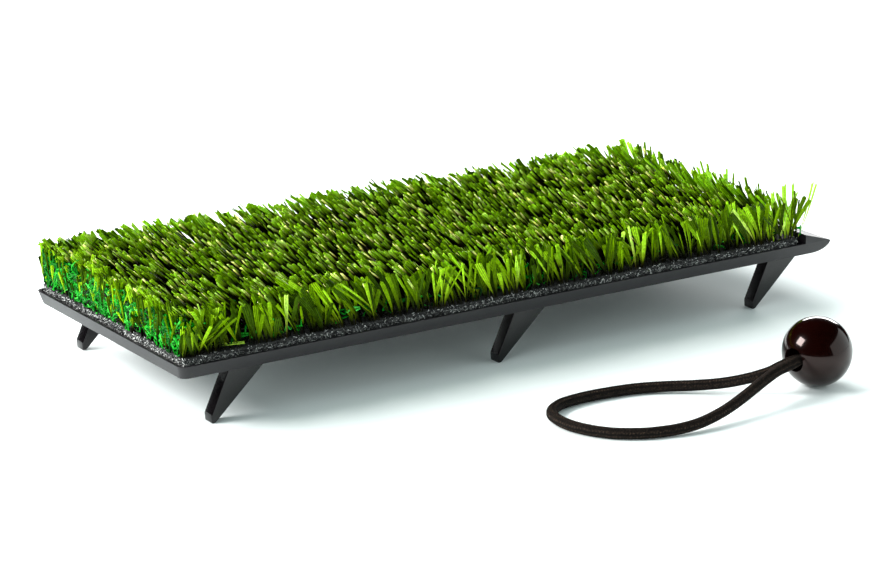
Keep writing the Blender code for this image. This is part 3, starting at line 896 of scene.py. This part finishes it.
def blade_mesh(name, blades, rings, columns):
    """Ribbon blades as closed thin solids: pleated in front, one ridge behind, cut blunt at the tip."""
    root, slope, rise = blades["root"], blades["slope"], blades["rise"]
    count = len(root)
    t = np.linspace(0, 1, rings)[None, :]
    power = blades["bend"][:, None]
    line = np.zeros((count, rings, 3))
    line[..., :2] = root[:, None, :] + slope[:, None] * (rise[:, None] * t ** power)[..., None]
    line[..., 2] = BACKING_HIGH.z - ROOT_SINK + rise[:, None] * t
    tangent = np.ones((count, rings, 3))
    tangent[..., :2] = slope[:, None] * (power * np.maximum(t, 0.02) ** (power - 1))[..., None]
    tangent = unit(tangent)
    facing = blades["facing"][:, None] + blades["twist"][:, None] * (1 - t)
    reference = np.stack([np.cos(facing), np.sin(facing), np.zeros_like(facing)], axis=-1)
    side = unit(reference - tangent * (reference * tangent).sum(-1, keepdims=True))
    normal = np.cross(side, tangent)
    spread = blades["root_share"][:, None]
    widened = smooth_step(t, 0.0, blades["full_at"][:, None])
    half_width = 0.5 * blades["width"][:, None] * (spread + (1 - spread) * widened)
    across = np.linspace(-1, 1, columns)
    pleat = np.where(np.arange(columns) % 2 == 0, -0.5, 0.5)
    cup = blades["cup"][:, None, None] * half_width[..., None] * (across ** 2 - 0.4)
    pleats = blades["pleat"][:, None, None] * pleat * np.minimum(1, half_width[..., None] / 0.0007)
    front = (line[:, :, None] + side[:, :, None] * (half_width[..., None] * across)[..., None]
             + normal[:, :, None] * (cup + pleats)[..., None])
    cut_shift = blades["slant"][:, None] * across * half_width[:, -1:] + blades["jag"][:, :columns]
    front[:, -1] += tangent[:, -1, None] * cut_shift[..., None]
    thickness = 0.00012
    behind = front[:, :, columns // 2] - normal * (np.abs(pleats).max(-1) + thickness)[..., None]
    surface = np.concatenate([front, behind[:, :, None]], axis=2)
    sides = columns + 1
    quads, caps = tube_faces(count, rings, sides)
    # Painted shade along each blade: 0 where it is darkest low in the pile, 1 above the painted shade.
    lit = smooth_step(t, blades["shaded_below"][:, None], blades["lit_above"][:, None])
    values = {
        "lit": np.repeat(lit.ravel(), sides),
        "across": np.tile(np.concatenate([across, [0.0]]), count * rings),
        "tone": np.repeat(blades["tone"], rings * sides),
    }
    return mesh_from_arrays(name, surface.reshape(-1, 3), quads, values, caps, 50)


def grow_blades(rng, roots, per_tuft, stray=False):
    """Every blade's numbers. The blades of a tuft stand side by side and lean alike; strays lean anyhow."""
    tufts = len(roots)
    count = tufts * per_tuft

    def per_blade(values):
        return np.repeat(values, per_tuft, axis=0)

    front, back, left, right = (per_blade(share) for share in edge_shares(roots))
    fringe = np.maximum.reduce([front, back, 0.6 * right])
    facing = per_blade(rng.normal(0, 0.45, tufts)) + rng.normal(0, 0.20, count)
    place = np.tile(np.arange(per_tuft) - (per_tuft - 1) / 2, tufts) + rng.normal(0, 0.25, count)
    sideways = np.stack([np.cos(facing), np.sin(facing)], axis=-1)
    gap = BLADE_GAP * (1 - 0.35 * front)
    margin = 0.0003
    root = per_blade(roots) + sideways * (place * gap)[:, None] + rng.normal(0, 0.0003, (count, 2))
    root = np.clip(root, np.array(BACKING_LOW.xy) + margin, np.array(BACKING_HIGH.xy) - margin)
    lean_x = LEAN * (1 - 0.85 * left) * (1 - 0.68 * front) * (1 - 0.15 * back)
    lean_x = lean_x * (1 - 0.45 * right) * (1 - front * right)
    lean_y = -0.06 * front + 0.06 * back
    loose = np.stack([0.08 + 0.20 * fringe + 0.25 * left, 0.07 + 0.04 * fringe + 0.20 * left], axis=-1)
    loose = loose * (2.2 if stray else 1.0) * (1 - 0.45 * np.maximum(back, right))[:, None]
    slope = np.stack([lean_x, lean_y], axis=-1) + per_blade(rng.normal(0, 1, (tufts, 2))) * loose
    slope = slope + rng.normal(0, 1, (count, 2)) * (0.035 + 0.13 * fringe + 0.08 * left)[:, None]
    slope = slope + sideways * (place * (0.05 + 0.08 * fringe))[:, None]
    rise = PILE_RISE + per_blade(rng.normal(0, 0.0011, tufts)) + rng.normal(0, 0.0005, count)
    rise = rise + 0.0022 * right
    rise = rise * (1 - left * per_blade(np.maximum(0, rng.uniform(-0.25, 0.55, tufts))))
    stunted = rng.uniform(0, 1, count) < 0.07 + 0.14 * fringe
    rise = rise * np.where(stunted, rng.uniform(0.6, 0.9, count), 1.0)
    ragged = 0.0009              # how far the tips' limits wander
    low = np.array((PILE_LEFT, -HALF_WIDTH - 0.0005)) + rng.normal(0, ragged, (count, 2))
    high = np.array((RIGHT_END, HALF_WIDTH - 0.0015)) + rng.normal(0, ragged, (count, 2))
    slope = np.clip(slope, (low - root) / rise[:, None], (high - root) / rise[:, None])
    width = per_blade(rng.uniform(0.0006, 0.0012, tufts)) * rng.uniform(0.7, 1.3, count)
    width = width * (1 + 1.0 * fringe + 1.2 * left) * (0.7 if stray else 1.0)
    points = (count, JAG_POINTS)
    notched = rng.uniform(0, 1, points) < 0.14
    notch = np.where(notched, rng.uniform(0.0006, 0.0024, points), 0.0)
    tone = per_blade(rng.normal(0.44, 0.14, tufts)) + rng.normal(0, 0.21, count)
    # Left-end blades are toned more olive; front blades are toned darker as painted shade on the mat's
    # front side.
    tone = tone - 0.30 * left - 0.27 * front
    # A few inner blades take the near-white top tone and a narrower width: painted glints.
    painted_glint = rng.uniform(0, 1, count) < 0.07 * (1 - fringe) * (1 - left)
    tone = np.where(painted_glint, 1.0, np.clip(tone, 0, 0.88))
    width = np.where(painted_glint, 0.7 * width, width)
    # Blades seen from outside the pile keep their painted shade low down; inside it reaches most of the way
    # up.
    seen_low = np.maximum(fringe, 0.8 * left)
    return {
        "root": root, "slope": slope, "rise": rise, "width": width, "facing": facing, "tone": tone,
        "bend": rng.uniform(1.0, 1.2, count) + 0.35 * fringe * rng.uniform(0, 1, count),
        "twist": rng.normal(0, 0.35, count) * (1 + fringe),
        "root_share": rng.uniform(0.25, 0.5, count) * (1 - 0.35 * front),
        "full_at": rng.uniform(0.4, 0.75, count) + 0.15 * front,
        "cup": rng.normal(0, 0.12, count),
        "pleat": rng.uniform(0.00020, 0.00042, count),
        "slant": rng.normal(0, 0.2, count),
        "jag": rng.normal(0, 0.00028, points) - notch,
        "shaded_below": np.where(painted_glint, 0.80, 0.68 - 1.06 * seen_low),
        "lit_above": 1.0 - 0.05 * seen_low,
        "fringe": seen_low,
    }


def corner_blades():
    """Single blades that stand out at the mat's corners: root, tip, width, facing and tone."""
    picked = (
        ((-0.1570, -0.0515), (-0.1405, -0.0645, 0.0338), 0.0034, 4.04, 0.75),
        ((0.1520, -0.0600), (0.1513, -0.0600, 0.0565), 0.0019, 0.2, 0.60),
        ((0.1425, -0.0618), (0.1534, -0.0602, 0.0522), 0.0026, 0.1, 0.85),
        ((0.1478, -0.0600), (0.1459, -0.0600, 0.0566), 0.0026, -0.1, 0.70),
        ((0.1400, -0.0612), (0.1385, -0.0610, 0.0545), 0.0025, 0.1, 0.70),
        ((0.1545, -0.0612), (0.1632, -0.0600, 0.0552), 0.0021, 0.3, 0.72),
        ((0.1545, -0.0612), (0.1654, -0.0600, 0.0543), 0.0020, 0.3, 0.72),
    )
    count = len(picked)
    root, tip, width, facing, tone = (np.array(column) for column in zip(*picked))
    rise = tip[:, 2] - BACKING_HIGH.z
    thin_stem = root[:, 0] > 0.154
    # Corner blades are seen whole, so their painted shade is faint and stays near the root.
    alike = {"twist": 0.3, "cup": 0.1, "pleat": 0.0003, "slant": 0.2, "shaded_below": -0.8,
             "lit_above": 0.6, "fringe": 1.0}
    return {
        "root": root, "slope": (tip[:, :2] - root) / rise[:, None], "rise": rise,
        "width": width, "facing": facing, "tone": tone, "bend": np.where(thin_stem, 0.85, 1.05),
        "root_share": np.where(thin_stem, 0.15, 0.5), "full_at": np.where(thin_stem, 0.75, 0.5),
        "jag": np.tile((0.0002, -0.0004, 0.0001, -0.0009, 0.0003, -0.0002, 0.0001), (count, 1)),
        **{key: np.full(count, value) for key, value in alike.items()},
    }


def chosen(blades, mask):
    return {key: value[mask] for key, value in blades.items()}


def make_turf():
    rng = np.random.default_rng(7)
    roots = tuft_roots(rng)
    tufted = grow_blades(rng, roots, 4)
    front, _, left, _ = edge_shares(tufted["root"])
    tufted = chosen(tufted, rng.uniform(0, 1, len(left)) > 0.40 * (left > 0.6) * (1 - front))
    strays = grow_blades(rng, roots[rng.uniform(0, 1, len(roots)) < 0.3], 1, stray=True)
    short = grow_blades(rng, roots[edge_shares(roots)[2] > 0.35], 2, stray=True)
    short["rise"] = short["rise"] * rng.uniform(0.35, 0.85, len(short["rise"]))
    short["tone"] = rng.uniform(0.10, 0.50, len(short["rise"]))
    sets = (tufted, strays, short, corner_blades())
    blades = {key: np.concatenate([each[key] for each in sets]) for key in tufted}
    paint = blade_paint()
    outer = blades["fringe"] > 0.3
    for part, members, rings, columns, edges in (("fringe", outer, 8, 7, (0.0,)),
                                                 ("blades", ~outer, 5, 5, (-0.08, 0.0, 0.08))):
        band = np.digitize(blades["root"][:, 0], edges)
        for index in range(len(edges) + 1):
            name = f"turf_{part}_{index + 1}"
            mesh = blade_mesh(name, chosen(blades, members & (band == index)), rings, columns)
            add_object(name, mesh, paint, "mat", ["turf_pile"])
    make_thatch(rng, roots)


def make_thatch(rng, roots):
    """Curly strands low in the pile: emerald and thick at the left end, few inside; the near-black ones are
    painted shade.
    """
    front, back, left, right = edge_shares(roots)
    inside = 1 - np.maximum.reduce([front, back, right])
    strands = np.round(2 * inside + 15 * left * (1 - 0.8 * front)
                       + 0.38 * rng.uniform(0, 2, len(roots)) * front).astype(int)
    root = np.repeat(roots, strands, axis=0)
    lifted = np.repeat(np.maximum(left, 0.5 * front), strands)
    count = len(root)
    rings, band_edge = 14, 0.022
    t = np.linspace(0, 1, rings)[None, :, None]
    low = rng.uniform(0, 1, count) * 0.0100 * lifted
    rise = (0.0035 + rng.uniform(0, 0.0030, count))[:, None, None]
    line = np.zeros((count, rings, 3))
    line[..., :2] = root[:, None] + rng.normal(0, 0.0018, (count, 1, 2))
    line[..., 2:] = BACKING_HIGH.z + low[:, None, None] + rise * t
    for turns in (1.0, 2.0):
        size = rng.uniform(0.0012, 0.0026, (count, 1, 3)) / turns * (1, 1, 0.7)
        phase = rng.uniform(0, 2 * math.pi, (count, 1, 3))
        line += size * np.sin(2 * math.pi * turns * t * rng.uniform(0.7, 1.2, (count, 1, 3)) + phase)
    line[..., 0] = np.clip(line[..., 0], PILE_LEFT, RAMP_START)
    line[..., 1] = np.clip(line[..., 1], -HALF_WIDTH + 0.0042, HALF_WIDTH - 0.0042)
    line[..., 2] = np.maximum(line[..., 2], BACKING_HIGH.z - ROOT_SINK)
    radius = rng.uniform(0.00022, 0.00050, count)
    # Strands that are not green are near-black, as painted shade deep in the pile.
    at_edge = np.repeat(np.maximum(0.78 * left, 0.9 * front), strands)
    green = rng.uniform(0, 1, count) < 0.08 + at_edge
    tone = np.where(green, rng.uniform(0.4, 1, count), rng.uniform(0, 0.3, count))
    paint = thatch_paint()
    band = np.digitize(line[:, 0, 1], (-band_edge, band_edge))
    for index in range(3):
        name = f"turf_thatch_{index + 1}"
        here = band == index
        mesh = fibre_mesh(name, line[here], radius[here], 4, tone[here])
        add_object(name, mesh, paint, "mat")


def blade_paint():
    """Ribbed ribbon yarn, thin enough to glow: painted shade turns it brown-black deep in the pile, lime at
    the cut tip.
    """
    paint = Paint("turf_blade", (0.20, 0.42, 0.02), 0.3)
    # Blade tones; the pale top of the ramp is partly painted highlight, and tone 1.0 is the colour of the
    # painted glints.
    hue = paint.ramp(paint.attribute("tone"), [
        (0.0, (0.045, 0.100, 0.0005)), (0.35, (0.270, 0.500, 0.002)), (0.65, (0.520, 0.900, 0.030)),
        (0.85, (0.720, 1.000, 0.180)), (1.0, (1.5, 1.5, 0.75))])
    # Painted shade from the 'lit' attribute: brown-black low in the pile, full colour near the tip, with a
    # little painted light at the tip.
    painted_shading = paint.ramp(paint.attribute("lit"), [
        (0.0, (0.008, 0.003, 0.002)), (0.30, (0.05, 0.026, 0.014)), (0.55, (0.60, 0.53, 0.36)),
        (0.9, (1.04, 1.04, 1.0))])
    ribs = paint.maths("SINE", paint.maths("MULTIPLY", paint.attribute("across"), 10.0))
    # Painted shade in the rib grooves, painted light on the rib crests.
    lines = paint.ramp(paint.maths("MULTIPLY", ribs, 0.5), [(0.0, 1.25), (0.45, 0.35)])
    mottle = paint.ramp(paint.noise(900, 2.0), [(0.3, 0.70), (0.7, 1.25)])
    final = paint.multiply(paint.multiply(paint.multiply(hue, painted_shading), lines), mottle)
    paint.colour(final)
    paint.roughness(paint.noise(1400, 2.0), 0.26, 0.42)
    paint.bump(ribs, 0.00008, 0.6)
    paint.set("Specular IOR Level", 0.05)
    glow = paint.node("ShaderNodeBsdfTranslucent", {"Color": paint.multiply(final, (1.0, 1.0, 0.4, 1.0))})
    shares = {"Fac": 0.15, 1: paint.shader.outputs["BSDF"], 2: glow.outputs["BSDF"]}
    blend = paint.node("ShaderNodeMixShader", shares)
    paint.feed(paint.tree.nodes["Material Output"], {"Surface": blend.outputs["Shader"]})
    return paint.material


def thatch_paint():
    """Glossy curls, emerald, with brown-black ones as painted shade and a lighter emerald as painted
    highlight.
    """
    paint = Paint("turf_thatch", (0.01, 0.25, 0.03), 0.22)
    # Tones up to 0.3 are painted shade; the top stop is painted highlight on the emerald.
    paint.colour(paint.ramp(paint.attribute("tone"), [
        (0.0, (0.003, 0.002, 0.001)), (0.3, (0.006, 0.008, 0.002)), (0.4, (0.0005, 0.026, 0.001)),
        (0.80, (0.001, 0.170, 0.005)), (0.94, (0.010, 0.360, 0.016)), (1.0, (0.100, 0.640, 0.080))]))
    paint.roughness(paint.noise(1600, 2.0), 0.16, 0.32)
    paint.set("Specular IOR Level", 0.09)
    return paint.material


# ---- CAD parts that stay

def paint_kept_parts():
    """The screws and the adhesive film keep their CAD shape."""
    steel = steel_paint("screw_steel")
    for label, _, _ in spike_places():
        repaint(f"screw_{label}", steel)
    film = Paint("adhesive", (0.75, 0.72, 0.62), 0.5)
    cloud = film.noise(120, 3.0)
    film.colour(film.ramp(cloud, [(0.3, (0.62, 0.58, 0.48)), (0.7, (0.80, 0.77, 0.68))]))
    film.roughness(cloud, 0.35, 0.6)
    repaint("adhesive_sheet", film.material)


def repaint(node, material):
    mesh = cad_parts[node].data
    mesh.materials.clear()
    mesh.materials.append(material)


# ---- the whole scene


make_camera()
cord, cord_line, cord_length = make_cord()
make_lights()
make_floor()
make_ball()
crimp = make_crimp()
make_tray()
make_spikes()
make_layers()
make_edge_fibres()
make_turf()
paint_kept_parts()
